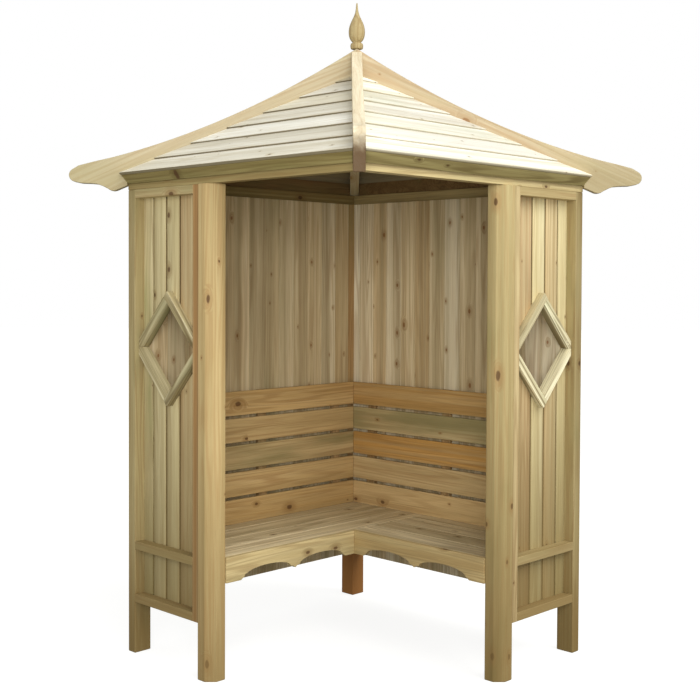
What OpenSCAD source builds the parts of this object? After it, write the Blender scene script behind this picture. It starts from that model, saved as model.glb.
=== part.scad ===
// Corner garden arbour: a square softwood frame set cornerwise, with two boarded
// back walls, two short side panels with diamond windows, an L-shaped bench with
// a slatted backrest, and a low boarded pyramid roof with hip boards and a finial.
// The open front corner points along -Y and the back corner along +Y.

/* [Plan] */
// Half the side of the square, to the outer face of the beams and wall frames
half_side = 624; // [520:1:800]
// Distance along a side from its middle to the centre of the front post
front_post_at = 134; // [60:1:260]

/* [Posts] */
// Side of a square corner post
post_size = 72; // [50:1:100]
// Height of the posts, to the underside of the beams
post_h = 1797; // [1500:1:2300]
// Width of the end post of a back wall, along the wall
end_post_w = 74; // [45:1:100]
// Leg of the chamfer on the front corner of a front post
front_chamfer = 32; // [5:1:40]

/* [Wall frames] */
// Depth of the wall frames and beams
frame_d = 44; // [35:1:58]
// Height of a wall rail
rail_h = 32; // [25:1:60]
// Width of the stile beside a front post
stile_w = 50; // [30:1:60]
// Underside of the bottom rail above the ground
bottom_rail_z = 200; // [60:1:300]
// Underside of the middle rail above the ground
mid_rail_z = 405; // [340:1:600]
// Thickness of the wall boards, fixed inside the frames
board_t = 13; // [9:1:22]

/* [Beams] */
// Height of the beams under the eaves
beam_h = 42; // [35:1:90]

/* [Windows] */
// Height of a window's centre above the ground
window_z = 1191; // [1000:1:1300]
// Height of the diamond, between its points
window_h = 434; // [250:1:600]
// Width of the diamond between its side points, which the frame cuts off
window_w = 410; // [300:1:600]
// Face width of a window bar
window_bar = 30; // [20:1:45]
// How far a window bar stands out from the boards' outer face
window_proud = 27; // [5:1:35]
// Gap between the diamond's cut sides and what stands beside them
window_gap = 1; // [0.5:0.5:10]

/* [Bench] */
// Height of the seat's top
seat_z = 445; // [380:1:520]
// Thickness of the seat boards
seat_t = 20; // [15:1:30]
// Distance from a back wall's boards to the seat's front edge
seat_depth = 474; // [350:1:540]
// Thickness of the apron boards
apron_t = 20; // [15:1:30]
// Height of the apron at its ends, from the seat's top
apron_h = 93; // [70:1:140]
// Height that the arches are cut up into the apron
arch_h = 38; // [10:1:45]
// Length of the flat pendant at each end of an apron
pendant_w = 70; // [20:1:90]
// Width of the pointed pendant between the two arches
point_w = 44; // [20:1:80]
// Height of the small step at each end of an arch
arch_step = 9; // [2:1:15]
// Width of a bearer under the seat
bearer_w = 38; // [25:1:50]
// Height of a bearer under the seat
bearer_h = 45; // [30:1:70]

/* [Backrest] */
// Number of slats in each backrest
slat_count = 5; // [3:1:6]
// Height of a backrest slat
slat_w = 98.5; // [60:0.5:110]
// Thickness of a backrest slat
slat_t = 16; // [12:1:25]
// Gap between backrest slats
slat_gap = 13; // [5:1:25]
// Recline of the backrest from upright, in degrees
recline = 1.5; // [0:0.1:8]
// Distance between the wall boards and the back of the slats at the top
backrest_off = 12; // [10:1:60]
// Width of an upright batten behind the slats
batten_w = 45; // [30:1:70]
// Distance from the side panel's boards to the centre of the first batten
batten_first = 60; // [30:1:150]
// Distance from the back corner to the centre of the last batten
batten_last = 130; // [100:1:250]

/* [Roof] */
// Rise of a roof face for each unit of run
roof_rise = 0.6; // [0.45:0.001:0.7]
// Height of the roof boards' top at the eaves
eaves_z = 1863; // [1600:1:2400]
// Thickness of the roof boards
roof_t = 12; // [10:1:22]
// Depth of the fascia board, square to the roof face
fascia_d = 38; // [30:1:60]
// Thickness of the fascia board
fascia_t = 14; // [12:1:20]
// Width of the eaves bearer that stands on each beam
eaves_bearer_w = 30; // [20:1:40]

/* [Hip boards] */
// Thickness of a hip board
hip_t = 40; // [30:1:60]
// Height of the hip boards' top where they meet
hip_peak_z = 2345; // [1900:1:2900]
// Height of the hip boards' top over the eaves corner
hip_eaves_z = 1923; // [1700:1:2500]
// Sag of the hip boards' hollow top edge between those two
hip_sag = 43; // [0:1:60]
// How far a side hip's tail runs out past the eaves corner
tail_run = 171; // [120:1:260]

/* [Finial] */
// Diameter of the collar at the finial's foot
collar_dia = 50; // [40:1:80]
// Height of the collar
collar_h = 25; // [10:1:40]
// Diameter of the neck above the collar
neck_dia = 35; // [20:1:38]
// Greatest diameter of the bulb
bulb_dia = 64; // [50:1:100]
// Height of the bulb
bulb_h = 100; // [60:1:140]
// Diameter of the spike's foot
spike_dia = 12; // [8:1:20]
// Height of the spike
spike_h = 49; // [30:1:90]

/* [Hidden] */
$fn = 64;
root2 = sqrt(2);
// Clearance where pieces butt on each other
joint_gap = 0.3;

// Plan lines, as distances from the middle: frame faces, board faces, post faces
frame_in = half_side - frame_d;
boards_in = frame_in - board_t;
post_in = boards_in;
post_out = post_in + post_size;
beam_top = post_h + beam_h;
boards_h = post_h - bottom_rail_z;

// The bench's levels
bearer_top = seat_z - seat_t;
seat_front = boards_in - seat_depth;
apron_back = seat_front + apron_t;

// The front post's faces along its side, and the stile beside it
front_post_back = front_post_at + post_size / 2;
stile_back = front_post_back + stile_w;

// The diamond window, between the stile and the rear post
window_at = (frame_in + stile_back) / 2;
window_clear = frame_in - stile_back - 2 * window_gap;
window_slant = norm([window_w / 2, window_h / 2]);
window_inner = 1 - window_bar * window_slant / (window_w * window_h / 4);

// The roof's planes: height of a face's top at a distance from the middle
roof_angle = atan(roof_rise);
roof_drop = roof_t / cos(roof_angle);
// The eaves stand out so that the fascia's foot comes against the beam
eaves_half = half_side + joint_gap + fascia_t * cos(roof_angle) + (fascia_d + roof_t) * sin(roof_angle);
// Direction square to a roof face, into the roof
down_slope = [-sin(roof_angle), -cos(roof_angle)];
function roof_top_z(d) = eaves_z + roof_rise * (eaves_half - d);
function roof_under_z(d) = roof_top_z(d) - roof_drop;
function hip_roof_z(r) = roof_top_z(r / root2);

// The hip boards' lines, along the diagonal
corner_r = eaves_half * root2;
beam_corner_out = half_side * root2;
beam_corner_in = frame_in * root2;
tail_r = corner_r + tail_run;

// Places a wall's own frame: x along the wall, y outwards, z up
module at_back_wall() { rotate([0, 0, 45]) children(); }
module at_side_panel() { rotate([0, 0, 135]) children(); }
module at_front_side() { rotate([0, 0, 135]) children(); }
module other_side() { mirror([1, 0, 0]) children(); }

// A straight piece in a wall's frame, from one corner to the other
module piece(from, to) { translate(from) cube(to - from); }

// Posts ---------------------------------------------------------------------

module post_back() {
    color("tan")
    at_back_wall() piece([post_in, post_in, 0], [post_out, post_out, post_h]);
}

module rear_post() {
    at_back_wall() piece([-half_side, frame_in, 0], [-half_side + end_post_w, half_side, post_h]);
}

// The front corner, towards the open side, is cut off flat
module front_post() {
    near = front_post_at - post_size / 2;
    at_side_panel()
    linear_extrude(post_h)
    polygon([[near + front_chamfer, post_out], [front_post_back, post_out],
        [front_post_back, post_in], [near, post_in], [near, post_out - front_chamfer]]);
}

module post_left_rear() { color("tan") rear_post(); }
module post_right_rear() { color("tan") other_side() rear_post(); }
module post_left_front() { color("burlywood") front_post(); }
module post_right_front() { color("burlywood") other_side() front_post(); }

// Walls ---------------------------------------------------------------------

module back_boards() {
    at_back_wall() piece([-boards_in, boards_in, bottom_rail_z], [boards_in, frame_in, post_h]);
}

module rail_set(from, to) {
    for (z = [bottom_rail_z, mid_rail_z, post_h - rail_h])
        piece([from, frame_in, z], [to, half_side, z + rail_h]);
}

// A diamond whose side points are cut off at the clear width between the frames
module diamond(share) {
    intersection() {
        scale(share) polygon([[window_w / 2, 0], [0, window_h / 2], [-window_w / 2, 0], [0, -window_h / 2]]);
        square([window_clear, window_h], center = true);
    }
}

// Stands a flat outline up in a wall's frame, between two depths
module upright(y_from, y_to) {
    translate([0, y_to, 0]) rotate([90, 0, 0]) linear_extrude(y_to - y_from) children();
}

module side_boards() {
    at_side_panel()
    upright(boards_in, frame_in)
    difference() {
        translate([front_post_back, bottom_rail_z]) square([frame_in - front_post_back, boards_h]);
        translate([window_at, window_z]) diamond(1);
    }
}

module window() {
    at_side_panel()
    upright(boards_in, frame_in + window_proud)
    translate([window_at, window_z])
    difference() {
        diamond(1);
        diamond(window_inner);
    }
}

module side_stile() {
    at_side_panel() piece([front_post_back, frame_in, bottom_rail_z], [stile_back, half_side, post_h]);
}

module back_rails() { at_back_wall() rail_set(-half_side + end_post_w, post_in); }

module back_boards_left() { color("rosybrown") back_boards(); }
module back_boards_right() { color("rosybrown") other_side() back_boards(); }
module back_rails_left() { color("peru") back_rails(); }
module back_rails_right() { color("peru") other_side() back_rails(); }
module side_boards_left() { color("rosybrown") side_boards(); }
module side_boards_right() { color("rosybrown") other_side() side_boards(); }
module side_rails_left() { color("peru") at_side_panel() rail_set(stile_back, frame_in); }
module side_rails_right() { color("peru") other_side() at_side_panel() rail_set(stile_back, frame_in); }
module side_stile_left() { color("peru") side_stile(); }
module side_stile_right() { color("peru") other_side() side_stile(); }
module window_left() { color("olive") window(); }
module window_right() { color("olive") other_side() window(); }

// Beams ---------------------------------------------------------------------

// A beam along one side, mitred at both corners
module beam() {
    translate([0, 0, post_h])
    linear_extrude(beam_h)
    polygon([[-half_side, half_side], [half_side, half_side], [frame_in, frame_in], [-frame_in, frame_in]]);
}

module beam_back_left() { color("darkkhaki") at_back_wall() beam(); }
module beam_back_right() { color("darkkhaki") other_side() at_back_wall() beam(); }
module beam_front_left() { color("darkkhaki") at_front_side() beam(); }
module beam_front_right() { color("darkkhaki") other_side() at_front_side() beam(); }

// Roof ----------------------------------------------------------------------

// Keeps what lies between the two hip boards that bound one roof face
module between_hips(height) {
    reach = eaves_half * 2;
    back_off = (hip_t / 2 + joint_gap) * root2;
    linear_extrude(height) polygon([[0, back_off], [reach, reach + back_off], [-reach, reach + back_off]]);
}

// A solid along one side with the given section of distance and height
module along_side(section) {
    rotate([90, 0, 90]) translate([0, 0, -eaves_half * 1.5]) linear_extrude(eaves_half * 3) polygon(section);
}

module roof_face() {
    top = roof_top_z(0);
    intersection() {
        along_side([[0, top], [eaves_half, eaves_z], [eaves_half, eaves_z] + roof_t * down_slope,
            [0, top - roof_drop]]);
        between_hips(top + 1);
    }
}

// The fascia hangs square to the roof face, under the ends of the roof boards
module fascia() {
    run = [cos(roof_angle), -sin(roof_angle)];
    corner = [eaves_half, eaves_z] + roof_t * down_slope;
    foot = corner + fascia_d * down_slope;
    intersection() {
        along_side([corner, foot, foot - fascia_t * run, corner - fascia_t * run]);
        between_hips(corner[1] + fascia_d);
    }
}

module eaves_bearer() {
    inner = half_side - (frame_d + eaves_bearer_w) / 2;
    outer = inner + eaves_bearer_w;
    intersection() {
        along_side([[inner, beam_top], [outer, beam_top], [outer, roof_under_z(outer)],
            [inner, roof_under_z(inner)]]);
        between_hips(roof_top_z(0));
    }
}

module roof_back_left() { color("beige") at_back_wall() roof_face(); }
module roof_back_right() { color("beige") other_side() at_back_wall() roof_face(); }
module roof_front_left() { color("beige") at_front_side() roof_face(); }
module roof_front_right() { color("beige") other_side() at_front_side() roof_face(); }
module fascia_back_left() { color("olive") at_back_wall() fascia(); }
module fascia_back_right() { color("olive") other_side() at_back_wall() fascia(); }
module fascia_front_left() { color("olive") at_front_side() fascia(); }
module fascia_front_right() { color("olive") other_side() at_front_side() fascia(); }

module eaves_bearers() {
    color("peru")
    for (turn = [45, 135, 225, 315])
        rotate([0, 0, turn]) eaves_bearer();
}

// Hip boards ----------------------------------------------------------------

// Height of a hip board's hollow top at a distance from the middle
function hip_top_z(r) =
    let (t = r / corner_r, slope = (hip_eaves_z - hip_peak_z) / corner_r)
    hip_peak_z + slope * r - 4 * hip_sag * t * (1 - t);

// The top edge from the middle out to a distance, as a run of short chords
function hip_top_line(to, steps) = [for (i = [0:steps]) [to * i / steps, hip_top_z(to * i / steps)]];

// The underside from the beam's outer corner inwards: the notch over the beam
// corner, then the rafter's lower edge up to the middle
function hip_seat_line(start) =
    let (slope = (hip_roof_z(0) - hip_roof_z(beam_corner_in)) / beam_corner_in)
    [[beam_corner_out + joint_gap, post_h + beam_h * 0.4], [beam_corner_out + joint_gap, beam_top],
        [beam_corner_in, beam_top], [start, beam_top + slope * (beam_corner_in - start)]];

// Points of an arc between two angles
function arc(centre, r, from, to, steps) =
    [for (i = [0:steps]) let (a = from + (to - from) * i / steps) centre + r * [cos(a), sin(a)]];

// The scrolled tail of a side hip: a round nose, a flat underside, then a sweep
// down to a beak and back up to the beam's corner
function tail_line() =
    let (nose_r = 26, nose_z = hip_eaves_z - 70, flat_z = nose_z - nose_r - 6, beak_z = flat_z - 28)
    concat(
        [[corner_r + tail_run * 0.47, hip_eaves_z - 19], [corner_r + tail_run * 0.78, hip_eaves_z - 33]],
        arc([tail_r - nose_r, nose_z], nose_r, 60, -75, 8),
        [[tail_r - 48, flat_z + 1], [tail_r - 85, flat_z], [tail_r - 108, flat_z - 2],
            [tail_r - 128, flat_z - 9], [tail_r - 150, flat_z - 20], [corner_r + 12, beak_z + 2],
            [corner_r, beak_z], [corner_r - 10, beak_z + 2]]);

module hip_board(outline) {
    rotate([90, 0, 0]) translate([0, 0, -hip_t / 2]) linear_extrude(hip_t) polygon(outline);
}

// The two side hips meet at the middle; the front and back ones butt on them
module side_hip() {
    hip_board(concat(hip_top_line(corner_r, 20), tail_line(), hip_seat_line(0)));
}

module square_hip() {
    start = hip_t / 2;
    round_r = 38;
    top = hip_top_z(corner_r - round_r);
    hip_board(concat(
        [for (p = hip_top_line(corner_r - round_r, 20)) if (p[0] > start) p],
        arc([corner_r - round_r, top - round_r], round_r, 80, 0, 6),
        [[corner_r, post_h - 11], [corner_r - 8, post_h - 11]],
        hip_seat_line(start),
        [[start, hip_top_z(start)]]));
}

module hip_right() { color("wheat") side_hip(); }
module hip_left() { color("wheat") other_side() side_hip(); }
module hip_back() { color("wheat") rotate([0, 0, 90]) square_hip(); }
module hip_front() { color("wheat") rotate([0, 0, -90]) square_hip(); }

// Finial --------------------------------------------------------------------

// Turned: a round collar, a neck, an onion-shaped bulb and a thin spike
module finial() {
    neck_h = 5;
    bulb_foot = collar_h + neck_h;
    bulb_top = bulb_foot + bulb_h;
    bulb_shares = [[0.58, 0], [0.8, 0.1], [0.95, 0.22], [1, 0.34], [0.95, 0.47], [0.8, 0.6], [0.58, 0.73],
        [0.37, 0.86]];
    bulb_side = [for (share = bulb_shares) [share[0] * bulb_dia / 2, bulb_foot + share[1] * bulb_h]];
    color("tan")
    translate([0, 0, hip_peak_z])
    rotate_extrude()
    polygon(concat(
        [[0, 0], [collar_dia / 2 - 3, 0], [collar_dia / 2, 4], [collar_dia / 2, collar_h - 4],
            [collar_dia / 2 - 3, collar_h], [neck_dia / 2, collar_h + 1]],
        bulb_side,
        [[spike_dia / 2, bulb_top], [spike_dia / 2 - 1.5, bulb_top + spike_h * 0.6],
            [spike_dia / 2 - 3, bulb_top + spike_h - 2], [0, bulb_top + spike_h]]));
}

// Bench ---------------------------------------------------------------------

// The left seat runs through the corner to the other wall; the right one butts on it
module seat_left() {
    color("darkkhaki")
    at_back_wall() piece([-boards_in, apron_back, bearer_top], [boards_in, boards_in, seat_z]);
}

module seat_right() {
    color("darkkhaki")
    other_side()
    at_back_wall() piece([-boards_in, apron_back, bearer_top], [apron_back - joint_gap, boards_in, seat_z]);
}

// Half of an apron's lower edge, from its end pendant to the middle point
function apron_half(length, side) =
    let (from = pendant_w + 14, to = length / 2 - point_w / 2, mid = (from + to) / 2,
        span = (to - from) / 2, rise = arch_h - arch_step)
    [for (i = [0:10]) let (a = 180 - 18 * i, s = mid + span * cos(a))
        [side < 0 ? s : length - s, arch_step + rise * sin(a)]];

function reversed(list) = [for (i = [len(list) - 1:-1:0]) list[i]];

function apron_outline(length) =
    concat(
        [[0, apron_h], [0, 0], [pendant_w, 0], [pendant_w + 12, arch_step]],
        apron_half(length, -1),
        [[length / 2 - 12, arch_step], [length / 2, 0], [length / 2 + 12, arch_step]],
        reversed(apron_half(length, 1)),
        [[length - pendant_w - 12, arch_step], [length - pendant_w, 0], [length, 0], [length, apron_h]]);

// The apron covers the seat boards' front ends; the two meet in the corner at a mitre
module apron() {
    length = boards_in + apron_back;
    mitre = joint_gap / 2;
    at_back_wall()
    intersection() {
        translate([-boards_in, 0, seat_z - apron_h])
        upright(seat_front, apron_back) polygon(apron_outline(length));
        linear_extrude(seat_z)
        polygon([[-boards_in, seat_front], [seat_front - mitre, seat_front], [apron_back - mitre, apron_back],
            [-boards_in, apron_back]]);
    }
}

module apron_left() { color("darkkhaki") apron(); }
module apron_right() { color("darkkhaki") other_side() apron(); }

// Bearers under the seat: along each wall, on each side panel and across the corner
module wall_bearer(to) {
    piece([-boards_in + bearer_w + joint_gap, boards_in - bearer_w, bearer_top - bearer_h],
        [to, boards_in, bearer_top]);
}

module end_bearer() {
    piece([-boards_in, apron_back, bearer_top - bearer_h],
        [-boards_in + bearer_w, boards_in, bearer_top]);
}

module seat_wall_bearers() {
    color("peru") {
        at_back_wall() wall_bearer(boards_in);
        other_side() at_back_wall() wall_bearer(boards_in - bearer_w - joint_gap);
    }
}

module seat_cross_bearers() {
    color("peru") {
        at_back_wall() {
            end_bearer();
            piece([apron_back, apron_back, bearer_top - bearer_h],
                [apron_back + bearer_w, boards_in - bearer_w - joint_gap, bearer_top]);
        }
        other_side() at_back_wall() end_bearer();
    }
}

// Backrest ------------------------------------------------------------------

slat_pitch = slat_w + slat_gap;
backrest_h = slat_count * slat_w + (slat_count - 1) * slat_gap;
backrest_foot = backrest_off + backrest_h * sin(recline);

// Reclined frame: x along the wall, y from the slats' back face to the wall, z up the slope
module reclined() {
    translate([0, boards_in - backrest_foot, seat_z]) rotate([-recline, 0, 0]) children();
}

// Slats of one wall, cut square at the side panel and mitred in the back corner
module backrest() {
    corner = boards_in - joint_gap;
    at_back_wall()
    intersection() {
        reclined()
        for (i = [0:slat_count - 1])
            piece([-boards_in, -slat_t, i * slat_pitch], [boards_in, 0, i * slat_pitch + slat_w]);
        linear_extrude(post_h)
        polygon([[-boards_in, -boards_in], [-boards_in, corner], [corner - joint_gap, corner]]);
    }
}

module backrest_left() { color("peru") backrest(); }
module backrest_right() { color("peru") other_side() backrest(); }

// Upright battens from the wall boards to the slats, wider at the foot
module batten(at) {
    translate([at - batten_w / 2, 0, 0])
    rotate([90, 0, 90])
    linear_extrude(batten_w)
    polygon([[boards_in - backrest_foot, seat_z], [boards_in, seat_z],
        [boards_in, seat_z + backrest_h * cos(recline)],
        [boards_in - backrest_off, seat_z + backrest_h * cos(recline)]]);
}

module wall_battens() {
    for (at = [-boards_in + batten_first, 0, boards_in - batten_last])
        batten(at);
}

module backrest_battens() {
    color("peru") {
        at_back_wall() wall_battens();
        other_side() at_back_wall() wall_battens();
    }
}

// Draws ---------------------------------------------------------------------

post_back();
post_left_rear();
post_right_rear();
post_left_front();
post_right_front();
back_boards_left();
back_boards_right();
back_rails_left();
back_rails_right();
side_boards_left();
side_boards_right();
side_rails_left();
side_rails_right();
side_stile_left();
side_stile_right();
window_left();
window_right();
beam_front_left();
beam_front_right();
beam_back_left();
beam_back_right();
fascia_front_left();
fascia_front_right();
fascia_back_left();
fascia_back_right();
roof_front_left();
roof_front_right();
roof_back_left();
roof_back_right();
eaves_bearers();
hip_left();
hip_right();
hip_front();
hip_back();
finial();
seat_left();
seat_right();
apron_left();
apron_right();
seat_wall_bearers();
seat_cross_bearers();
backrest_left();
backrest_right();
backrest_battens();
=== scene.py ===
"""The finish of a corner garden arbour: sawn, pressure-treated softwood, every board on its own.

Each class below is one sub-assembly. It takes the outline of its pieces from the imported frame,
saws them into boards, eases their edges and dresses them in one of the timber finishes.
"""

import logging
import math
import random
from dataclasses import dataclass, field
from enum import Enum
from typing import Callable, Iterable, Optional, Sequence

import bmesh
import bpy
from mathutils import Matrix, Vector


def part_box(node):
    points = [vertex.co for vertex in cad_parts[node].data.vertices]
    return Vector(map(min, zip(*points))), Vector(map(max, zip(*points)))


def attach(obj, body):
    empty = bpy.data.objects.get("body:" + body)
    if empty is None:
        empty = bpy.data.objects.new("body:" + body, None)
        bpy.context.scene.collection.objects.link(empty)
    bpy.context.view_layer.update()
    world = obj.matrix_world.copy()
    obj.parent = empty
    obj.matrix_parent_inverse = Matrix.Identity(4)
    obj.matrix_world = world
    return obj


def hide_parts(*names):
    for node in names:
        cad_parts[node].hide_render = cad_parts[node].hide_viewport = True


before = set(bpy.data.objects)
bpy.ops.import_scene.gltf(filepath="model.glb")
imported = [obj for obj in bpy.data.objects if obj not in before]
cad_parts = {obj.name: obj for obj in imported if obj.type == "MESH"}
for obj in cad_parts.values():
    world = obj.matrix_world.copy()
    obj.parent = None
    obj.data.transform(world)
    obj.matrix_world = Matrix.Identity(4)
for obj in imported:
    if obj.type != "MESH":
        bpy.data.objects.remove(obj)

LOG = logging.getLogger("arbour")
MM = 0.001
EAVES = 1.8
UP = Vector((0, 0, 1))
Colour = tuple[float, float, float]


class Side(Enum):
    """Which half of the arbour a piece stands in, with the sign of its X."""

    LEFT = -1
    RIGHT = 1

    @property
    def word(self) -> str:
        """The ending of this side's node names."""
        return self.name.lower()


@dataclass(frozen=True)
class Axes:
    """A wall's own directions: along it and square to it, outwards."""

    along: Vector
    out: Vector

    @classmethod
    def back_wall(cls, side: Side) -> "Axes":
        """The directions of a back wall, from its outer end to the back corner."""
        return cls(Vector((-side.value, 1, 0)).normalized(), Vector((side.value, 1, 0)).normalized())

    @classmethod
    def front_side(cls, side: Side) -> "Axes":
        """The directions of a side panel, from the front to its rear post."""
        return cls(Vector((side.value, 1, 0)).normalized(), Vector((side.value, -1, 0)).normalized())


def linear(colour: Colour) -> tuple[float, float, float, float]:
    """Turns a screen colour into the renderer's.

    Args:
        colour: Red, green and blue from 0 to 255.

    Returns:
        The linear colour with full opacity.
    """
    def channel(value: float) -> float:
        share = value / 255
        return share / 12.92 if share <= 0.04045 else ((share + 0.055) / 1.055) ** 2.4

    return (*(channel(value) for value in colour), 1.0)


# Finishes ----------------------------------------------------------------------


class Graph:
    """A material's node tree, built one node at a time."""

    def __init__(self, name: str) -> None:
        """Starts an empty material.

        Args:
            name: The material's name.
        """
        self.material = bpy.data.materials.new(name)
        self.material.use_nodes = True
        self.tree = self.material.node_tree
        self.tree.nodes.clear()

    def add(self, kind: str, inputs: Optional[dict] = None, **settings) -> bpy.types.Node:
        """Adds a node.

        Args:
            kind: The node's type.
            inputs: Sockets to link, or numbers to set, by input name or number.
            **settings: The node's own properties.

        Returns:
            The node.
        """
        node = self.tree.nodes.new(kind)
        for key, value in settings.items():
            setattr(node, key, value)
        for key, value in (inputs or {}).items():
            if isinstance(value, bpy.types.NodeSocket):
                self.tree.links.new(value, node.inputs[key])
            else:
                node.inputs[key].default_value = value
        return node

    def math(self, operation: str, *values) -> bpy.types.NodeSocket:
        """One sum on sockets or numbers; returns the result's socket."""
        return self.add("ShaderNodeMath", dict(enumerate(values)), operation=operation).outputs[0]

    def mix(self, share, first, second, blend: str = "MIX") -> bpy.types.NodeSocket:
        """Mixes two colours by a share; returns the colour's socket."""
        made = self.add("ShaderNodeMix", {0: share, 6: first, 7: second}, data_type="RGBA", blend_type=blend)
        made.clamp_factor = True
        return made.outputs[2]

    def stretched(self, vector, scale: Colour) -> bpy.types.NodeSocket:
        """A vector scaled by a different amount on each axis."""
        made = self.add("ShaderNodeVectorMath", {0: vector, 1: scale}, operation="MULTIPLY")
        return made.outputs[0]

    def noise(self, vector, scale: Colour, detail: float = 2.0) -> bpy.types.NodeSocket:
        """Soft noise from 0 to 1 over a vector in metres, with features per metre on each axis."""
        inputs = {"Vector": self.stretched(vector, scale), "Scale": 1.0, "Detail": detail}
        return self.add("ShaderNodeTexNoise", inputs).outputs[0]

    def ramp(self, value, low, high, to_low: float = 0.0, to_high: float = 1.0) -> bpy.types.NodeSocket:
        """A smooth step of a value between two limits."""
        inputs = {0: value, 1: low, 2: high, 3: to_low, 4: to_high}
        return self.add("ShaderNodeMapRange", inputs, interpolation_type="SMOOTHSTEP").outputs[0]


@dataclass(frozen=True)
class Stain:
    """A stain that fades out with height; on the panels and the front hip it also paints shade, darker towards the
    foot.
    """

    colour: Colour
    full_z: float
    clear_z: float
    strength: float = 0.8


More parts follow.
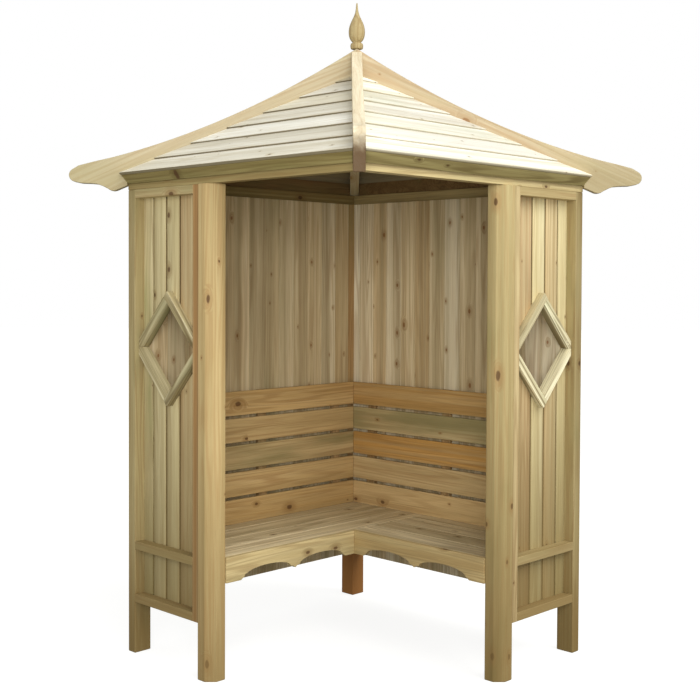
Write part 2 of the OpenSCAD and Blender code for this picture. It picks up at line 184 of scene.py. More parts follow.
@dataclass(frozen=True)
class Timber:
    """A finish of treated softwood. A board's tone runs from pale over mid to deep."""

    name: str
    slot: str
    pale: Colour
    mid: Colour
    deep: Colour
    line: Colour
    green: Colour = (128, 132, 84)
    green_share: float = 0.5
    knot: Colour = (84, 52, 28)
    knots: float = 0.35
    knot_size: float = 1.0
    lines: float = 0.4
    stripes: float = 0.1
    stain: Optional[Stain] = None

    def material(self) -> bpy.types.Material:
        """Builds the finish once and returns it afterwards.

        Returns:
            The material, which reads each board's grain and board attributes.
        """
        found = bpy.data.materials.get(self.name)
        return found or self.build()

    def build(self) -> bpy.types.Material:
        """Draws growth lines, fibres, streaks, knots, green tints, the stain with its painted shade, and each point's
        painted light and shade.

        Returns:
            The new material.
        """
        graph = Graph(self.name)
        grain = graph.add("ShaderNodeAttribute", attribute_name="grain").outputs["Vector"]
        board = graph.add("ShaderNodeAttribute", attribute_name="board").outputs["Vector"]
        tone, tint, shade = graph.add("ShaderNodeSeparateXYZ", {0: board}).outputs
        core, halo = self.draw_knots(graph, grain)
        push = graph.add("ShaderNodeCombineXYZ", {1: graph.math("MULTIPLY", halo, 0.05)}).outputs[0]
        wander = graph.add("ShaderNodeVectorMath", {0: grain, 1: push}, operation="ADD").outputs[0]
        rings = graph.math("SINE", graph.math("MULTIPLY", graph.noise(wander, (0.7, 17, 17), 1.5), 62))
        band = graph.ramp(rings, -0.6, 1.0)
        fibre = graph.noise(grain, (7, 520, 520), 2.0)
        streak = graph.noise(grain, (0.35, 60, 60), 3.0)
        stripe = graph.noise(grain, (0.22, 22, 22), 3.0)
        patch = graph.noise(grain, (1.6, 9, 9), 3.0)

        pale_half = graph.ramp(tone, 0.0, 0.5)
        deep_half = graph.ramp(tone, 0.5, 1.0)
        colour = graph.mix(pale_half, linear(self.pale), linear(self.mid))
        colour = graph.mix(deep_half, colour, linear(self.deep))
        spread = graph.math("MULTIPLY", graph.ramp(streak, 0.38, 0.66), 0.55)
        colour = graph.mix(spread, colour, graph.mix(0.6, linear(self.pale), linear(self.mid)))
        drawn = graph.math("MULTIPLY", band, graph.math("MULTIPLY", graph.ramp(patch, 0.3, 0.6), self.lines))
        colour = graph.mix(drawn, colour, linear(self.line))
        colour = graph.mix(graph.ramp(fibre, 0.42, 0.72, 0.0, 0.36), colour, linear(self.line))
        tinted = graph.ramp(graph.math("ADD", graph.noise(grain, (2.2, 12, 12), 3.0), tint), 0.62, 1.05)
        colour = graph.mix(graph.math("MULTIPLY", tinted, self.green_share), colour, linear(self.green))
        colour = graph.mix(graph.math("MULTIPLY", halo, 0.5), colour, linear(self.line))
        colour = graph.mix(graph.math("MULTIPLY", core, 0.78), colour, linear(self.knot))
        # The board's shade is its own random brightness times the painted light and shade laid on its points; the
        # darker it is made, the browner it turns.
        darker = graph.math("MULTIPLY", shade, graph.ramp(patch, 0.2, 0.8, 0.9, 1.08))
        darker = graph.math("MULTIPLY", darker, graph.ramp(stripe, 0.3, 0.7, 1 - self.stripes, 1 + self.stripes))
        brown = {0: darker, 1: graph.math("POWER", darker, 1.12), 2: graph.math("POWER", darker, 1.4)}
        colour = graph.mix(1.0, colour, graph.add("ShaderNodeCombineXYZ", brown).outputs[0], "MULTIPLY")
        if self.stain:
            colour = self.draw_stain_and_shade(graph, grain, colour)

        relief = graph.math("ADD", graph.math("MULTIPLY", fibre, 0.6), graph.math("MULTIPLY", band, 0.5))
        relief = graph.math("SUBTRACT", relief, graph.math("MULTIPLY", core, 0.6))
        bump = graph.add("ShaderNodeBump", {"Strength": 0.35, "Distance": 0.0009, "Height": relief})
        rough = graph.ramp(fibre, 0.2, 0.8, 0.58, 0.8)
        surface = graph.add("ShaderNodeBsdfPrincipled", {
            "Base Color": colour, "Roughness": rough, "Normal": bump.outputs[0], "Specular IOR Level": 0.25,
        })
        graph.add("ShaderNodeOutputMaterial", {"Surface": surface.outputs[0]})
        return graph.material

    def draw_knots(self, graph: Graph, grain) -> tuple:
        """Scatters oval knots over the wide and the narrow faces.

        Args:
            graph: The tree to draw in.
            grain: The board's own coordinates, in metres.

        Returns:
            The sockets of the knots' cores and of the halos round them.
        """
        x, y, z = graph.add("ShaderNodeSeparateXYZ", {0: grain}).outputs
        across = graph.math("ADD", y, z)
        place = graph.add("ShaderNodeCombineXYZ", {0: graph.math("MULTIPLY", x, 5.5),
                                                   1: graph.math("MULTIPLY", across, 9.0)}).outputs[0]
        cells = graph.add("ShaderNodeTexVoronoi", {"Vector": place, "Scale": 1.0}, voronoi_dimensions="2D")
        chance, size, _ = graph.add("ShaderNodeSeparateXYZ", {0: cells.outputs["Color"]}).outputs
        keep = graph.math("GREATER_THAN", chance, 1 - self.knots)
        radius = graph.math("MULTIPLY_ADD", graph.math("POWER", size, 1.8),
                            0.085 * self.knot_size, 0.02 * self.knot_size)
        ragged = graph.math("MULTIPLY_ADD", graph.noise(grain, (60, 90, 90), 1.0),
                            0.04 * self.knot_size, cells.outputs["Distance"])
        ragged = graph.math("SUBTRACT", ragged, 0.02 * self.knot_size)
        core = graph.ramp(ragged, radius, graph.math("MULTIPLY", radius, 0.55))
        halo = graph.ramp(ragged, graph.math("MULTIPLY", radius, 3.2), radius)
        return graph.math("MULTIPLY", core, keep), graph.math("MULTIPLY", halo, keep)

    def draw_stain_and_shade(self, graph: Graph, grain, colour):
        """Mixes the stain, with the painted shade it carries on some finishes, over a colour, by height above the
        ground.

        Args:
            graph: The tree to draw in.
            grain: The board's own coordinates, in metres.
            colour: The colour underneath.

        Returns:
            The socket of the mixed colour.
        """
        place = graph.add("ShaderNodeTexCoord").outputs["Object"]
        height = graph.add("ShaderNodeSeparateXYZ", {0: place}).outputs[2]
        ragged = graph.math("MULTIPLY_ADD", graph.noise(grain, (4, 40, 40), 2.0), 0.06, height)
        share = graph.ramp(ragged, self.stain.clear_z + 0.03, self.stain.full_z + 0.03, 0.0, self.stain.strength)
        return graph.mix(share, colour, linear(self.stain.colour))


POST = Timber("post timber", "post", (190, 174, 124), (196, 174, 122), (208, 176, 120), (172, 134, 84),
              knots=0.5, knot_size=1.25, green_share=0.75, green=(132, 128, 76), stain=Stain((124, 100, 56), -0.3, 1.4, 0.75),
              stripes=0.14)
REAR_POST = Timber("rear post timber", "post", (194, 182, 136), (184, 166, 118), (178, 146, 98), (148, 118, 72),
                   knots=0.2, green_share=0.6, stain=Stain((120, 96, 50), 0.05, 0.6, 0.75))
FOOT_STAINED = Timber("stained post timber", "post", (200, 172, 122), (190, 160, 108), (180, 142, 92), (150, 112, 66),
                      knots=0.16, stain=Stain((150, 98, 46), 0.30, 0.42, 0.9))
WALL = Timber("wall boards", "wall_boards", (212, 200, 168), (200, 180, 138), (192, 162, 114), (150, 118, 76),
              knots=0.5, knot_size=0.8, green_share=0.5, green=(150, 144, 104), stripes=0.22, knot=(128, 84, 46))
STRIP = Timber("corner strip", "wall_boards", (190, 156, 108), (180, 146, 98), (164, 126, 80), (130, 94, 54),
               knots=0.3)
# Its stain greens the panels and darkens them towards the ground; the darkening is partly painted shade.
PANEL = Timber("panel boards", "wall_boards", (224, 210, 164), (198, 182, 132), (186, 154, 110), (152, 124, 80),
               knots=0.3, knot_size=0.8, green_share=0.8, green=(156, 156, 100), stain=Stain((118, 100, 56), -0.1, 1.4, 0.75),
               stripes=0.14)
FRAME_WOOD = Timber("frame timber", "frame", (206, 188, 138), (184, 164, 114), (168, 136, 88), (156, 122, 78),
                    knots=0.2, green_share=0.6, stain=Stain((124, 104, 60), -0.2, 1.4, 0.7))
STILE = Timber("stile timber", "frame", (226, 206, 156), (198, 172, 120), (170, 130, 80), (150, 112, 68),
               knots=0.3, green_share=0.3, stain=Stain((118, 92, 50), -0.2, 1.4, 0.6))
WINDOW = Timber("window bars", "frame", (232, 222, 182), (200, 186, 142), (166, 148, 100), (116, 96, 56),
                knots=0.08, green_share=0.8, green=(142, 142, 98), lines=0.8, stripes=0.3)
BEAM = Timber("beam timber", "beam", (228, 208, 154), (186, 166, 110), (150, 132, 80), (150, 120, 74),
              knots=0.2, green_share=0.55)
FASCIA = Timber("fascia timber", "fascia", (190, 178, 122), (152, 136, 84), (120, 104, 56), (104, 86, 44),
                knots=0.25, green_share=0.7, green=(112, 108, 56), lines=0.6)
ROOF = Timber("roof boards", "roof_boards", (250, 248, 238), (245, 242, 227), (234, 227, 200), (196, 180, 140),
              knots=0.6, knot_size=0.5, green_share=0.45, green=(196, 202, 170), lines=0.3)
HIP = Timber("hip timber", "hip", (216, 206, 176), (206, 193, 160), (194, 173, 138), (176, 148, 110),
             knots=0.45, green_share=0.6, green=(196, 192, 144), lines=0.5, knot=(150, 108, 66), stripes=0.08,
             stain=Stain((176, 164, 120), 1.84, 2.0, 0.55))
# The front hip turns dark brown towards its foot, over its end: a stain, with painted shade on the end that faces
# away from the light.
HIP_END = Timber("front hip timber", "hip", (244, 236, 208), (238, 226, 194), (220, 200, 160), (200, 170, 124),
                 knots=0.1, green_share=0.2, lines=0.25, stain=Stain((84, 58, 26), 1.84, 1.95, 0.95))
FINIAL = Timber("turned finial", "finial", (200, 184, 140), (192, 172, 122), (180, 150, 100), (150, 116, 70),
                knots=0.05, green_share=0.3)
SEAT = Timber("seat boards", "seat", (236, 224, 188), (218, 200, 158), (200, 172, 126), (130, 104, 66),
              knots=0.3, green_share=0.6, green=(160, 158, 122), stripes=0.16)
APRON = Timber("apron timber", "seat", (216, 200, 152), (200, 178, 126), (188, 154, 98), (128, 98, 56),
               knots=0.3, green_share=0.5, green=(134, 130, 88))
BACKREST = Timber("backrest slats", "backrest", (206, 184, 138), (202, 170, 114), (202, 154, 84), (146, 106, 58),
                  knots=0.3, green_share=0.8, green=(134, 126, 82))
BEARER = Timber("bearer timber", "frame", (178, 152, 108), (164, 134, 90), (146, 112, 70), (112, 82, 48), knots=0.2)


# Bench work --------------------------------------------------------------------


class Shop:
    """The random draws that give each board its own grain, in the order the boards are made."""

    draws = random.Random(20)


def activate(piece: bpy.types.Object) -> None:
    """Deselects everything, then selects one piece and makes it active."""
    bpy.ops.object.select_all(action="DESELECT")
    piece.select_set(True)
    bpy.context.view_layer.objects.active = piece


def start_edit(piece: bpy.types.Object) -> None:
    """Opens a piece in edit mode with all of it selected."""
    activate(piece)
    bpy.ops.object.mode_set(mode="EDIT")
    bpy.ops.mesh.select_all(action="SELECT")


def end_edit() -> None:
    """Closes edit mode."""
    bpy.ops.object.mode_set(mode="OBJECT")


def blank(node: str) -> bpy.types.Object:
    """Cuts a fresh blank to a node's shape, with clean flat faces.

    Args:
        node: The CAD node to copy.

    Returns:
        A new piece with a mesh of its own.
    """
    piece = bpy.data.objects.new(node + "_timber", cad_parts[node].data.copy())
    bpy.context.scene.collection.objects.link(piece)
    piece.data.materials.clear()
    start_edit(piece)
    bpy.ops.mesh.remove_doubles(threshold=0.00002)
    bpy.ops.mesh.dissolve_limited(angle_limit=math.radians(0.4))
    bpy.ops.mesh.normals_make_consistent(inside=False)
    end_edit()
    return piece


def loose_parts(piece: bpy.types.Object) -> list[bpy.types.Object]:
    """Takes a piece of several solids apart, sorted by place so that their order is fixed."""
    start_edit(piece)
    bpy.ops.mesh.separate(type="LOOSE")
    end_edit()
    parts = list(bpy.context.selected_objects)
    return sorted(parts, key=lambda part: tuple(round(value, 3) for value in centre_of(part)))


def centre_of(piece: bpy.types.Object) -> Vector:
    """The middle of a piece's box."""
    corners = [Vector(corner) for corner in piece.bound_box]
    return sum(corners, Vector()) / len(corners)


def span(piece: bpy.types.Object, direction: Vector) -> tuple[float, float]:
    """The least and greatest distance of a piece along a direction."""
    reach = [vertex.co.dot(direction) for vertex in piece.data.vertices]
    return min(reach), max(reach)


def saw(piece: bpy.types.Object, normal: Vector, at: float) -> None:
    """Saws off everything of a piece that lies beyond a plane.

    Args:
        piece: The piece to cut.
        normal: The plane's normal, towards what falls off.
        at: The plane's distance from the origin along the normal.
    """
    start_edit(piece)
    bpy.ops.mesh.bisect(plane_co=normal * at, plane_no=normal, use_fill=True, clear_outer=True)
    end_edit()


def copy_of(piece: bpy.types.Object) -> bpy.types.Object:
    """A copy of a piece with a mesh of its own."""
    made = piece.copy()
    made.data = piece.data.copy()
    bpy.context.scene.collection.objects.link(made)
    return made


def boards(piece: bpy.types.Object, across: Vector, cuts: Sequence[float], gap: float) -> list[bpy.types.Object]:
    """Saws a blank into boards and throws the blank away.

    Args:
        piece: The blank.
        across: The direction from board to board.
        cuts: The distances of the board lines along it, from low to high.
        gap: The open width between two boards.

    Returns:
        The boards, in order.
    """
    low, high = span(piece, across)
    inside = [cut for cut in cuts if low + 4 * MM < cut < high - 4 * MM]
    edges = [low - gap, *inside, high + gap]
    made = []
    for start, end in zip(edges, edges[1:]):
        board = copy_of(piece)
        saw(board, across, end - gap / 2)
        saw(board, -across, -(start + gap / 2))
        if board.data.vertices:
            made.append(board)
        else:
            bpy.data.objects.remove(board)
    bpy.data.objects.remove(piece)
    return made


def tongues(piece: bpy.types.Object, across: Vector, out: Vector, cuts: Sequence[float],
            depth: float) -> list[bpy.types.Object]:
    """Saws the tongues that close the joints between boards, made dark as painted shade in the joints.

    Args:
        piece: The blank of all the boards, which is left as it is.
        across: The direction from board to board.
        out: The direction out of the boards' faces.
        cuts: The distances of the board lines along the first direction.
        depth: How far the tongues stay below each face.

    Returns:
        The tongues, in order.
    """
    low, high = span(piece, across)
    inner, outer = span(piece, out)
    foot, head = span(piece, UP)
    made = []
    for cut in cuts:
        if not low + 8 * MM < cut < high - 8 * MM:
            continue
        tongue = copy_of(piece)
        for normal, at in ((across, cut + 5 * MM), (-across, 5 * MM - cut), (out, outer - depth),
                           (-out, -inner - depth), (UP, head - 2 * MM), (-UP, -foot - 2 * MM)):
            saw(tongue, normal, at)
        # Brightness 0.3: painted shade in the joints between the boards.
        lay_grain(tongue, UP, out, 0.8, -0.3, 0.3)
        made.append(tongue)
    return made


def chamfer(piece: bpy.types.Object, pick: Callable[[Vector, Vector], bool], width: float, steps: int = 1) -> None:
    """Planes chosen edges off.

    Args:
        piece: The piece.
        pick: Says of an edge's middle and direction whether it is planed.
        width: The chamfer's leg.
        steps: The number of flats across it.
    """
    start_edit(piece)
    bpy.ops.mesh.select_mode(type="EDGE")
    bpy.ops.mesh.select_all(action="DESELECT")
    mesh = bmesh.from_edit_mesh(piece.data)
    for edge in mesh.edges:
        first, second = (vertex.co for vertex in edge.verts)
        bent = len(edge.link_faces) == 2 and edge.calc_face_angle() > math.radians(20)
        edge.select_set(bent and pick((first + second) / 2, (second - first).normalized()))
    bmesh.update_edit_mesh(piece.data)
    bpy.ops.mesh.bevel(offset=width, segments=steps, affect="EDGES", clamp_overlap=True)
    end_edit()


def ease(piece: bpy.types.Object, width: float, steps: int = 2) -> None:
    """Rounds every sharp edge a little, as sanding does.

    Args:
        piece: The piece.
        width: The rounding's width.
        steps: The number of flats across it.
    """
    activate(piece)
    bevel = piece.modifiers.new("ease", "BEVEL")
    bevel.width = width
    bevel.segments = steps
    bevel.limit_method = "ANGLE"
    bevel.angle_limit = math.radians(28)
    bpy.ops.object.modifier_apply(modifier=bevel.name)
    bpy.ops.object.shade_smooth_by_angle(angle=math.radians(24))


def lay_grain(piece: bpy.types.Object, along: Vector, out: Vector, tone: Optional[float] = None,
              tint: Optional[float] = None, shade: Optional[float] = None,
              painted_light_and_dirt: Optional[Callable[[Vector], float]] = None) -> None:
    """Gives a board its own coordinates along and across the grain, and its own tone.

    Args:
        piece: The finished board.
        along: The direction of the grain.
        out: The direction out of the board's face.
        tone: The board's tone from pale, 0, to deep, 1; drawn if left out.
        tint: How green the board is, from -0.4 to 0.5; drawn if left out.
        shade: The board's brightness; drawn at random if left out, and where given it paints the light and shade that
            fall on the piece.
        painted_light_and_dirt: How bright a point is made: painted shade in grooves, on butts, on undersides and on
            the shaded side, painted light above 1 on the lit side, and dirt in the grooves.
    """
    draws = Shop.draws
    middle = centre_of(piece)
    across = out.cross(along).normalized()
    shift = Vector((draws.uniform(-9, 9), draws.uniform(-9, 9), draws.uniform(-9, 9)))
    drawn = (draws.betavariate(2, 2), draws.uniform(-0.25, 0.25), draws.uniform(0.86, 1.1))
    own = [given if given is not None else made for given, made in zip((tone, tint, shade), drawn)]
    grain = piece.data.attributes.new("grain", "FLOAT_VECTOR", "POINT")
    board = piece.data.attributes.new("board", "FLOAT_VECTOR", "POINT")
    places, looks = [], []
    for vertex in piece.data.vertices:
        step = vertex.co - middle
        places.extend((step.dot(along) + shift.x, step.dot(across) + shift.y, step.dot(out) + shift.z))
        # The third value is the brightness, times the painted light and shade at this point.
        looks.extend((own[0], own[1], own[2] * (painted_light_and_dirt(vertex.co) if painted_light_and_dirt else 1.0)))
    grain.data.foreach_set("vector", places)
    board.data.foreach_set("vector", looks)


def painted_height_light(place: Vector, foot: float, head: float) -> float:
    """Painted light and shade by height: a point's brightness between two values, at the ground and at the eaves."""
    return foot + (head - foot) * place.z / EAVES


def assemble(parts: Sequence[bpy.types.Object], name: str, finish: Timber, nodes: Iterable[str]) -> bpy.types.Object:
    """Joins boards into one piece, dresses it and sets it in for its nodes.

    Args:
        parts: The boards.
        name: The piece's name.
        finish: The finish it gets.
        nodes: The CAD nodes that it stands for.

    Returns:
        The piece.
    """
    piece = parts[0]
    activate(piece)
    for part in parts[1:]:
        part.select_set(True)
    if len(parts) > 1:
        bpy.ops.object.join()
    piece.name = name
    piece.data.name = name
    piece.data.materials.clear()
    piece.data.materials.append(finish.material())
    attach(piece, "root")
    if nodes:
        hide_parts(*nodes)
    LOG.info("%s: %d boards, %d faces", name, len(parts), len(piece.data.polygons))
    return piece


@dataclass
class Stick:
    """A node of plain straight timbers, each with its edges eased."""

    node: str
    finish: Timber
    along: Vector
    out: Vector
    round_edge: float = 2.0 * MM
    tone: Optional[float] = None
    tint: Optional[float] = None
    shade: Optional[float] = None
    foot_shade: float = 1.0
    head_shade: float = 1.0

    def build(self) -> bpy.types.Object:
        """Makes the node's timbers and returns them as one piece."""
        parts = loose_parts(blank(self.node))
        for part in parts:
            ease(part, self.round_edge)
            # The brightness runs from foot_shade at the ground to head_shade at the eaves: painted light and shade.
            lay_grain(part, self.along, self.out, self.tone, self.tint, self.shade,
                      lambda place: painted_height_light(place, self.foot_shade, self.head_shade))
        return assemble(parts, self.node + "_timber", self.finish, [self.node])


# Sub-assemblies ----------------------------------------------------------------


@dataclass
class Posts:
    """The five posts. The front ones have a flat planed on their front corner."""

    round_edge: float = 3.5 * MM

    def build(self) -> None:
        """Makes the posts."""
        back = Axes.back_wall(Side.LEFT)
        Stick("post_back", FOOT_STAINED, UP, back.out, self.round_edge, 0.45, 0.0).build()
        for side, tone, tint in ((Side.LEFT, 0.7, -0.1), (Side.RIGHT, 0.1, 0.15)):
            axes = Axes.front_side(side)
            # Painted light and shade: the left front post brighter at the foot, the right one darker there, the rear
            # posts darker, the right one most.
            foot, rear = (1.08, 0.95) if side is Side.LEFT else (0.82, 0.78)
            Stick(f"post_{side.word}_front", POST, UP * -side.value, axes.out, self.round_edge, tone, tint, 1.0,
                  foot).build()
            Stick(f"post_{side.word}_rear", REAR_POST, UP, axes.out, self.round_edge, 0.35, 0.1, rear).build()


@dataclass
class BackWall:
    """A back wall of upright tongued boards behind three rails."""

    side: Side
    pitch: float = 84 * MM
    corner_strip: float = 36 * MM
    groove: float = 4.0 * MM
    gap: float = 0.8 * MM
    axes: Axes = field(init=False)

    def __post_init__(self) -> None:
        """Works out the wall's directions."""
        self.axes = Axes.back_wall(self.side)

    def build(self) -> None:
        """Makes the boards and the rails."""
        node = f"back_boards_{self.side.word}"
        whole = blank(node)
        low, high = span(whole, self.axes.along)
        inner, outer = span(whole, self.axes.out)
        last = high - self.corner_strip
        count = int((last - low) / self.pitch) + 1
        cuts = [last - self.pitch * index for index in reversed(range(count))]
        joints = tongues(whole, self.axes.along, self.axes.out, cuts, self.groove)
        made = boards(whole, self.axes.along, cuts, self.gap)
        for board in made:
            chamfer(board, lambda place, way: abs(way.z) > 0.9 and place.dot(self.axes.out) > outer - MM,
                    self.groove)
            ease(board, 1.0 * MM, 1)
            lay_grain(board, UP, self.axes.out, painted_light_and_dirt=self.painted_light_and_groove_dirt(inner, outer))
        if self.side is Side.LEFT:
            assemble([made.pop()], "corner_strip_timber", STRIP, [node])
        assemble([*made, *joints], node + "_timber", WALL, [node])
        Stick(f"back_rails_{self.side.word}", FRAME_WOOD, self.axes.along, self.axes.out).build()

    def painted_light_and_groove_dirt(self, inner: float, outer: float) -> Callable[[Vector], float]:
        """Paints shade and dirt into the foot of the V grooves, between the two faces of the boards, and paints the
        right wall brighter than the left.
        """
        lit = 0.98 if self.side is Side.LEFT else 1.14
        # 0.4 in the grooves is painted shade with dirt; lit is painted light, higher on the right.
        return lambda place: 0.4 if inner + 2 * MM < place.dot(self.axes.out) < outer - self.groove / 2 else lit


@dataclass
class SidePanel:
    """A side panel: tongued boards round a diamond window, rails, a stile and the window's bars."""

    side: Side
    pitch: float = 84 * MM
    first_line: float = 272 * MM
    groove: float = 7.0 * MM
    gap: float = 2.0 * MM
    bar_side: float = 5.0 * MM
    axes: Axes = field(init=False)

    def __post_init__(self) -> None:
        """Works out the panel's directions."""
        self.axes = Axes.front_side(self.side)

    def build(self) -> None:
        """Makes the boards, the frame and the window."""
        self.build_boards()
        self.build_window()
        word = self.side.word
        Stick(f"side_rails_{word}", FRAME_WOOD, self.axes.along, self.axes.out).build()
        tone = 1.0 if self.side is Side.LEFT else 0.0
        Stick(f"side_stile_{word}", STILE, UP, self.axes.out, tone=tone).build()

    def build_boards(self) -> None:
        """Saws the panel into boards with a V groove between them."""
        node = f"side_boards_{self.side.word}"
        whole = blank(node)
        inner, outer = span(whole, self.axes.out)
        cuts = [self.first_line + self.pitch * index for index in range(4)]
        joints = tongues(whole, self.axes.along, self.axes.out, cuts, 4 * MM)
        made = boards(whole, self.axes.along, cuts, self.gap)
        for board in made:
            chamfer(board, lambda place, way: abs(way.z) > 0.95 and place.dot(self.axes.out) > outer - MM,
                    self.groove)
            ease(board, 1.0 * MM, 1)
            lay_grain(board, UP, self.axes.out, painted_light_and_dirt=self.painted_light_and_groove_dirt(inner, outer))
        assemble([*made, *joints], node + "_timber", PANEL, [node])

    def painted_light_and_groove_dirt(self, inner: float, outer: float) -> Callable[[Vector], float]:
        """Paints shade and dirt into the foot of the V grooves, between the two faces of the boards, and paints light
        and shade by height, the right panel much brighter towards the eaves.
        """
        foot, head = (1.0, 1.06) if self.side is Side.LEFT else (0.78, 1.46)

        def painted_light_and_dirt(place: Vector) -> float:
            """The brightness of a point of the panel, with its painted light and shade."""
            sunk = inner + 2 * MM < place.dot(self.axes.out) < outer - self.groove / 2
            return painted_height_light(place, foot, head) * (0.3 if sunk else 1.0)

        return painted_light_and_dirt

    def build_window(self) -> None:
        """Saws the diamond ring into four bars; the rear two butt on the front two."""
        node = f"window_{self.side.word}"
        ring = blank(node)
        low, high = span(ring, UP)
        middle_z = (low + high) / 2
        lines = self.inner_lines(ring, middle_z)
        _, face = span(ring, self.axes.out)
        parts = []
        for (rear, upper), (normal, inner) in lines.items():
            bar = copy_of(ring)
            level = -UP if upper else UP
            saw(bar, level, middle_z * level.z - 0.2 * MM)
            saw(bar, -normal, -inner - 0.4 * MM)
            if rear:
                front_normal, front_inner = lines[(False, upper)]
                saw(bar, front_normal, front_inner - 0.3 * MM)
            ease(bar, 2.0 * MM)
            outside = inner + self.bar_side

            def painted_light_and_dirt(place: Vector, normal=normal, outside=outside, upper=upper) -> float:
                """Paints shade on the sides that face down, towards the boards."""
                deep = place.dot(self.axes.out) < face - self.bar_side
                return 0.42 if deep and (place.dot(normal) < outside) == upper else 1.0

            # Painted light: the bars are made brighter, the right ones more than the left.
            tone, shade = (0.65, 1.1) if self.side is Side.LEFT else (0.2, 1.25)
            along = normal.cross(self.axes.out).normalized()
            lay_grain(bar, along, self.axes.out, tone, 0.25 if rear == upper else -0.1, shade, painted_light_and_dirt)
            parts.append(bar)
        bpy.data.objects.remove(ring)
        assemble(parts, node + "_timber", WINDOW, [node])

    def inner_lines(self, ring: bpy.types.Object, middle_z: float) -> dict[tuple[bool, bool], tuple[Vector, float]]:
        """Finds the inner face of each bar of the diamond.

        Args:
            ring: The diamond ring.
            middle_z: The height of its centre.

        Returns:
            For a rear or front and an upper or lower bar, its outward normal and its inner face's distance.
        """
        found = {}
        for face in ring.data.polygons:
            normal = -face.normal
            slanted = abs(normal.dot(self.axes.out)) < 0.1 and 0.2 < abs(normal.z) < 0.98
            if slanted and (face.center.z - middle_z) * normal.z > 0:
                found[(normal.dot(self.axes.along) > 0, normal.z > 0)] = (normal.copy(), face.center.dot(normal))
        return found


@dataclass
class Bench:
    """The L-shaped bench: seat boards, shaped aprons and the slatted backrests."""

    seat_rows: int = 4
    gap: float = 3.0 * MM
    left_slats: tuple = ((0.6, -0.3), (0.4, -0.25), (0.2, 0.3), (0.35, 0.0), (0.65, -0.3))
    right_slats: tuple = ((0.3, 0.0), (0.2, -0.1), (0.9, -0.35), (0.1, 0.45), (0.75, -0.3))

    def build(self) -> None:
        """Makes the bench."""
        for side in Side:
            self.build_seat(side)
            self.build_apron(side)
        self.build_backrest(Side.LEFT, self.left_slats)
        self.build_backrest(Side.RIGHT, self.right_slats)
        axes = Axes.back_wall(Side.LEFT)
        Stick("seat_wall_bearers", BEARER, axes.along, axes.out).build()
        Stick("seat_cross_bearers", BEARER, axes.out, axes.along).build()
        Stick("backrest_battens", BEARER, UP, axes.out).build()

    def build_seat(self, side: Side) -> None:
        """Saws one seat into its boards."""
        axes = Axes.back_wall(side)
        node = f"seat_{side.word}"
        whole = blank(node)
        low, high = span(whole, axes.out)
        width = (high - low) / self.seat_rows
        made = boards(whole, axes.out, [low + width * index for index in range(1, self.seat_rows)], self.gap)
        # Painted light: the right seat is made brighter than the left.
        lit = 0.98 if side is Side.LEFT else 1.14
        for board in made:
            ease(board, 2.0 * MM)
            lay_grain(board, axes.along, UP, painted_light_and_dirt=lambda place: lit)
        assemble(made, node + "_timber", SEAT, [node])

    def build_apron(self, side: Side) -> None:
        """Eases one apron's scalloped board."""
        axes = Axes.back_wall(side)
        # Painted light: the left apron is made brighter than the right.
        Stick(f"apron_{side.word}", APRON, axes.along, axes.out, 1.5 * MM,
              shade=1.14 if side is Side.LEFT else 1.0).build()

    def build_backrest(self, side: Side, looks: Sequence[tuple[float, float]]) -> None:
        """Makes one wall's slats, from the lowest up.

        Args:
            side: The wall.
            looks: Each slat's tone and tint.
        """
        axes = Axes.back_wall(side)
        node = f"backrest_{side.word}"
        slats = sorted(loose_parts(blank(node)), key=lambda part: centre_of(part).z)
        for slat, (tone, tint) in zip(slats, looks):
            ease(slat, 2.0 * MM)
            lay_grain(slat, axes.along, axes.out, tone, tint)
        assemble(slats, node + "_timber", BACKREST, [node])


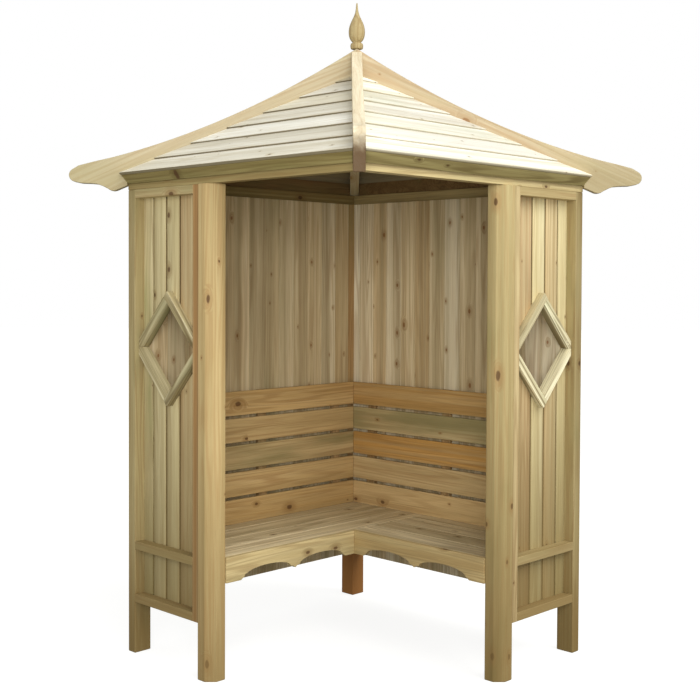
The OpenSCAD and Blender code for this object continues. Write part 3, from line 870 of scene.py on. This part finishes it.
@dataclass
class Roof:
    """The boarded pyramid, its fascias, beams, hip boards and the bearers under it."""

    first_course: float = 95 * MM
    course: float = 98.5 * MM
    step: float = 5.5 * MM
    gap: float = 0.8 * MM
    butt_shade: float = 0.3

    def build(self) -> None:
        """Makes the roof."""
        for side in Side:
            word = side.word
            for place, axes in (("front", Axes.front_side(side)), ("back", Axes.back_wall(side))):
                self.build_face(f"roof_{place}_{word}", axes)
                Stick(f"fascia_{place}_{word}", FASCIA, axes.along, axes.out, 1.5 * MM,
                      tint=0.25 if side is Side.LEFT else -0.1, tone=0.6 if side is Side.LEFT else 0.25).build()
                # Painted shade: the back beams, under the roof, are made darker.
                Stick(f"beam_{place}_{word}", BEAM, axes.along, axes.out, 1.5 * MM,
                      tone=0.85 if side is Side.LEFT else 0.1, shade=0.62 if place == "back" else None).build()
            # Painted light and shade: the right hip is made brighter than the left.
            Stick(f"hip_{word}", HIP, Vector((side.value, 0, -0.45)).normalized(), Vector((0, -1, 0)),
                  shade=0.93 if side is Side.LEFT else 1.04).build()
        Stick("hip_front", HIP_END, Vector((0, -1, -0.45)).normalized(), Vector((1, 0, 0))).build()
        Stick("hip_back", HIP, Vector((0, 1, -0.45)).normalized(), Vector((1, 0, 0))).build()
        axes = Axes.back_wall(Side.LEFT)
        # Painted shade: the eaves bearers, under the roof, are made darker.
        Stick("eaves_bearers", BEARER, axes.along, axes.out, shade=0.6).build()

    def build_face(self, node: str, axes: Axes) -> None:
        """Saws one roof face into courses, each a step above the next one up.

        Args:
            node: The CAD node of the face.
            axes: The directions of the wall below it.
        """
        whole = blank(node)
        upper = max(whole.data.polygons, key=lambda face: face.area * (face.normal.z > 0))
        out = upper.normal.copy()
        down = axes.along.cross(out).normalized()
        down = down if down.z < 0 else -down
        slope = down.dot(axes.out)
        _, foot = span(whole, down)
        lines = [foot - (self.first_course + self.course * index) / slope for index in reversed(range(7))]
        made = boards(whole, down, lines, self.gap)
        for board in made:
            self.set_back(board, down, out)
            chamfer(board, lambda place, way: abs(way.dot(axes.along)) > 0.95, 2.0 * MM, 2)
            ease(board, 0.8 * MM, 1)
            _, edge = span(board, down)
            _, face = span(board, out)
            # Painted light and shade: the left faces darker with dark butts, the right faces brighter, the undersides
            # dark.
            dark, lit = (self.butt_shade, 0.93) if axes.out.x < 0 else (0.82, 1.12)

            def painted_light_and_dirt(place: Vector, edge: float = edge, face: float = face, dark: float = dark) -> float:
                """Paints shade on the butt of a course and its underside."""
                under = place.dot(out) < face - 8 * MM
                return 0.3 if under else dark if place.dot(down) > edge - 0.5 * MM else lit

            lay_grain(board, axes.along, out, painted_light_and_dirt=painted_light_and_dirt)
        assemble(made, node + "_timber", ROOF, [node])

    def set_back(self, board: bpy.types.Object, down: Vector, out: Vector) -> None:
        """Sinks the upper edge of a course, so that the course above laps over it.

        Args:
            board: The course.
            down: The direction down the slope.
            out: The direction out of the roof.
        """
        low, _ = span(board, down)
        start_edit(board)
        bpy.ops.mesh.select_mode(type="VERT")
        bpy.ops.mesh.select_all(action="DESELECT")
        mesh = bmesh.from_edit_mesh(board.data)
        top = max(vertex.co.dot(out) for vertex in mesh.verts)
        for vertex in mesh.verts:
            vertex.select_set(vertex.co.dot(down) < low + MM and vertex.co.dot(out) > top - MM)
        bmesh.update_edit_mesh(board.data)
        bpy.ops.transform.translate(value=-out * self.step)
        end_edit()


@dataclass
class Finial:
    """The turned finial, drawn up ring by ring from its foot."""

    sides: int = 40
    profile: tuple = (
        (0.6, 0.0), (0.7, 0.004), (0.76, 0.03), (0.79, 0.068), (0.76, 0.105), (0.68, 0.13), (0.52, 0.137),
        (0.5, 0.15), (0.62, 0.166), (0.82, 0.21), (0.96, 0.28), (1.0, 0.36), (0.97, 0.44), (0.86, 0.52),
        (0.67, 0.6), (0.44, 0.68), (0.27, 0.75), (0.17, 0.82), (0.12, 0.9), (0.1, 0.97), (0.05, 1.0),
    )

    def build(self) -> None:
        """Turns the finial."""
        low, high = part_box("finial")
        middle = (low + high) / 2
        height = high.z - low.z
        widest = (high.x - low.x) / 2
        rings = [(widest * share, rise) for share, rise in self.profile]
        bpy.ops.object.select_all(action="DESELECT")
        bpy.ops.mesh.primitive_circle_add(vertices=self.sides, radius=rings[0][0], fill_type="NGON",
                                          location=(middle.x, middle.y, low.z))
        piece = bpy.context.active_object
        bpy.ops.object.transform_apply(location=True, rotation=True, scale=True)
        bpy.ops.object.mode_set(mode="EDIT")
        bpy.ops.mesh.select_all(action="SELECT")
        centre = (middle.x, middle.y, low.z)
        for (before, from_z), (after, to_z) in zip(rings, rings[1:]):
            bpy.ops.mesh.extrude_region_move(
                TRANSFORM_OT_translate={"value": (0, 0, (to_z - from_z) * height)})
            share = after / before
            bpy.ops.transform.resize(value=(share, share, 1), center_override=centre)
        bpy.ops.mesh.select_all(action="SELECT")
        bpy.ops.mesh.normals_make_consistent(inside=False)
        bpy.ops.object.mode_set(mode="OBJECT")
        smooth = piece.modifiers.new("turning", "SUBSURF")
        smooth.levels = smooth.render_levels = 1
        bpy.ops.object.modifier_apply(modifier=smooth.name)
        bpy.ops.object.shade_smooth_by_angle(angle=math.radians(60))
        lay_grain(piece, UP, Vector((0, -1, 0)), 0.3, -0.1)
        assemble([piece], "finial_turned", FINIAL, ["finial"])


# Studio ------------------------------------------------------------------------


@dataclass
class Studio:
    """A pale floor, soft light and the camera."""

    world_level: float = 0.46
    key_level: float = 2.0
    key_from: Colour = (0.8, -0.6, 1.0)
    key_softness: float = 50.0
    fill_power: float = 165.0
    fill_place: Colour = (-0.2, -5.4, 1.9)
    fill_size: float = 2.5
    floor_size: float = 60.0
    eye: Colour = (-0.045, -4.519, 1.452)
    yaw: float = -0.713
    pitch: float = 88.521
    roll: float = 0.256
    lens: float = 59.74
    shift: tuple = (-0.01214, -0.0567)

    def build(self) -> None:
        """Sets the studio up."""
        self.build_floor()
        self.build_light()
        self.build_camera()
        bpy.context.scene.view_settings.view_transform = "Standard"

    def build_floor(self) -> None:
        """Lays a pale floor that shows white where it is lit and keeps the soft shadow."""
        bpy.ops.object.select_all(action="DESELECT")
        bpy.ops.mesh.primitive_plane_add(size=self.floor_size, location=(0, 0, 0))
        floor = bpy.context.active_object
        floor.name = "studio_floor"
        graph = Graph("studio floor")
        matte = graph.add("ShaderNodeBsdfDiffuse", {"Color": (0.3, 0.3, 0.28, 1)})
        rays = graph.add("ShaderNodeLightPath").outputs["Is Camera Ray"]
        lift = graph.math("MULTIPLY", rays, 0.85)
        glow = graph.add("ShaderNodeEmission", {"Color": (1, 1, 1, 1), "Strength": lift})
        both = graph.add("ShaderNodeAddShader", {0: matte.outputs[0], 1: glow.outputs[0]})
        graph.add("ShaderNodeOutputMaterial", {"Surface": both.outputs[0]})
        floor.data.materials.append(graph.material)

    def build_light(self) -> None:
        """Adds an even white surround and one soft key light from the front right."""
        world = bpy.data.worlds.new("studio")
        bpy.context.scene.world = world
        world.use_nodes = True
        tree = world.node_tree
        tree.nodes.clear()
        rays = tree.nodes.new("ShaderNodeLightPath")
        lit = tree.nodes.new("ShaderNodeBackground")
        lit.inputs["Strength"].default_value = self.world_level
        seen = tree.nodes.new("ShaderNodeBackground")
        seen.inputs["Color"].default_value = (1, 1, 1, 1)
        lit.inputs["Color"].default_value = (1, 1, 1, 1)
        pick = tree.nodes.new("ShaderNodeMixShader")
        out = tree.nodes.new("ShaderNodeOutputWorld")
        tree.links.new(rays.outputs["Is Camera Ray"], pick.inputs[0])
        tree.links.new(lit.outputs[0], pick.inputs[1])
        tree.links.new(seen.outputs[0], pick.inputs[2])
        tree.links.new(pick.outputs[0], out.inputs["Surface"])
        key = bpy.data.lights.new("key", "SUN")
        key.energy = self.key_level
        key.angle = math.radians(self.key_softness)
        lamp = bpy.data.objects.new("key", key)
        bpy.context.scene.collection.objects.link(lamp)
        lamp.rotation_euler = Vector(self.key_from).to_track_quat("Z", "Y").to_euler()
        fill = bpy.data.lights.new("fill", "AREA")
        fill.energy = self.fill_power
        fill.size = self.fill_size
        lamp = bpy.data.objects.new("fill", fill)
        bpy.context.scene.collection.objects.link(lamp)
        lamp.location = self.fill_place
        lamp.rotation_euler = (Vector(self.fill_place) - Vector((0, 0.3, 1))).to_track_quat("Z", "Y").to_euler()

    def build_camera(self) -> None:
        """Puts the camera at standing height in front of the open corner."""
        data = bpy.data.cameras.new("camera")
        data.sensor_width = 36.0
        data.lens = self.lens
        data.shift_x, data.shift_y = self.shift
        data.clip_end = 200.0
        camera = bpy.data.objects.new("camera", data)
        bpy.context.scene.collection.objects.link(camera)
        turn = (Matrix.Rotation(math.radians(self.yaw), 4, "Z") @ Matrix.Rotation(math.radians(self.pitch), 4, "X")
                @ Matrix.Rotation(math.radians(self.roll), 4, "Z"))
        camera.matrix_world = Matrix.Translation(self.eye) @ turn
        bpy.context.scene.camera = camera


def main() -> None:
    """Builds the studio and every sub-assembly."""
    logging.basicConfig(level=logging.INFO, format="%(name)s %(message)s")
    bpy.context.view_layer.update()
    Studio().build()
    Posts().build()
    for side in Side:
        BackWall(side).build()
        SidePanel(side).build()
    Bench().build()
    Roof().build()
    Finial().build()


if __name__ == "__main__":
    main()
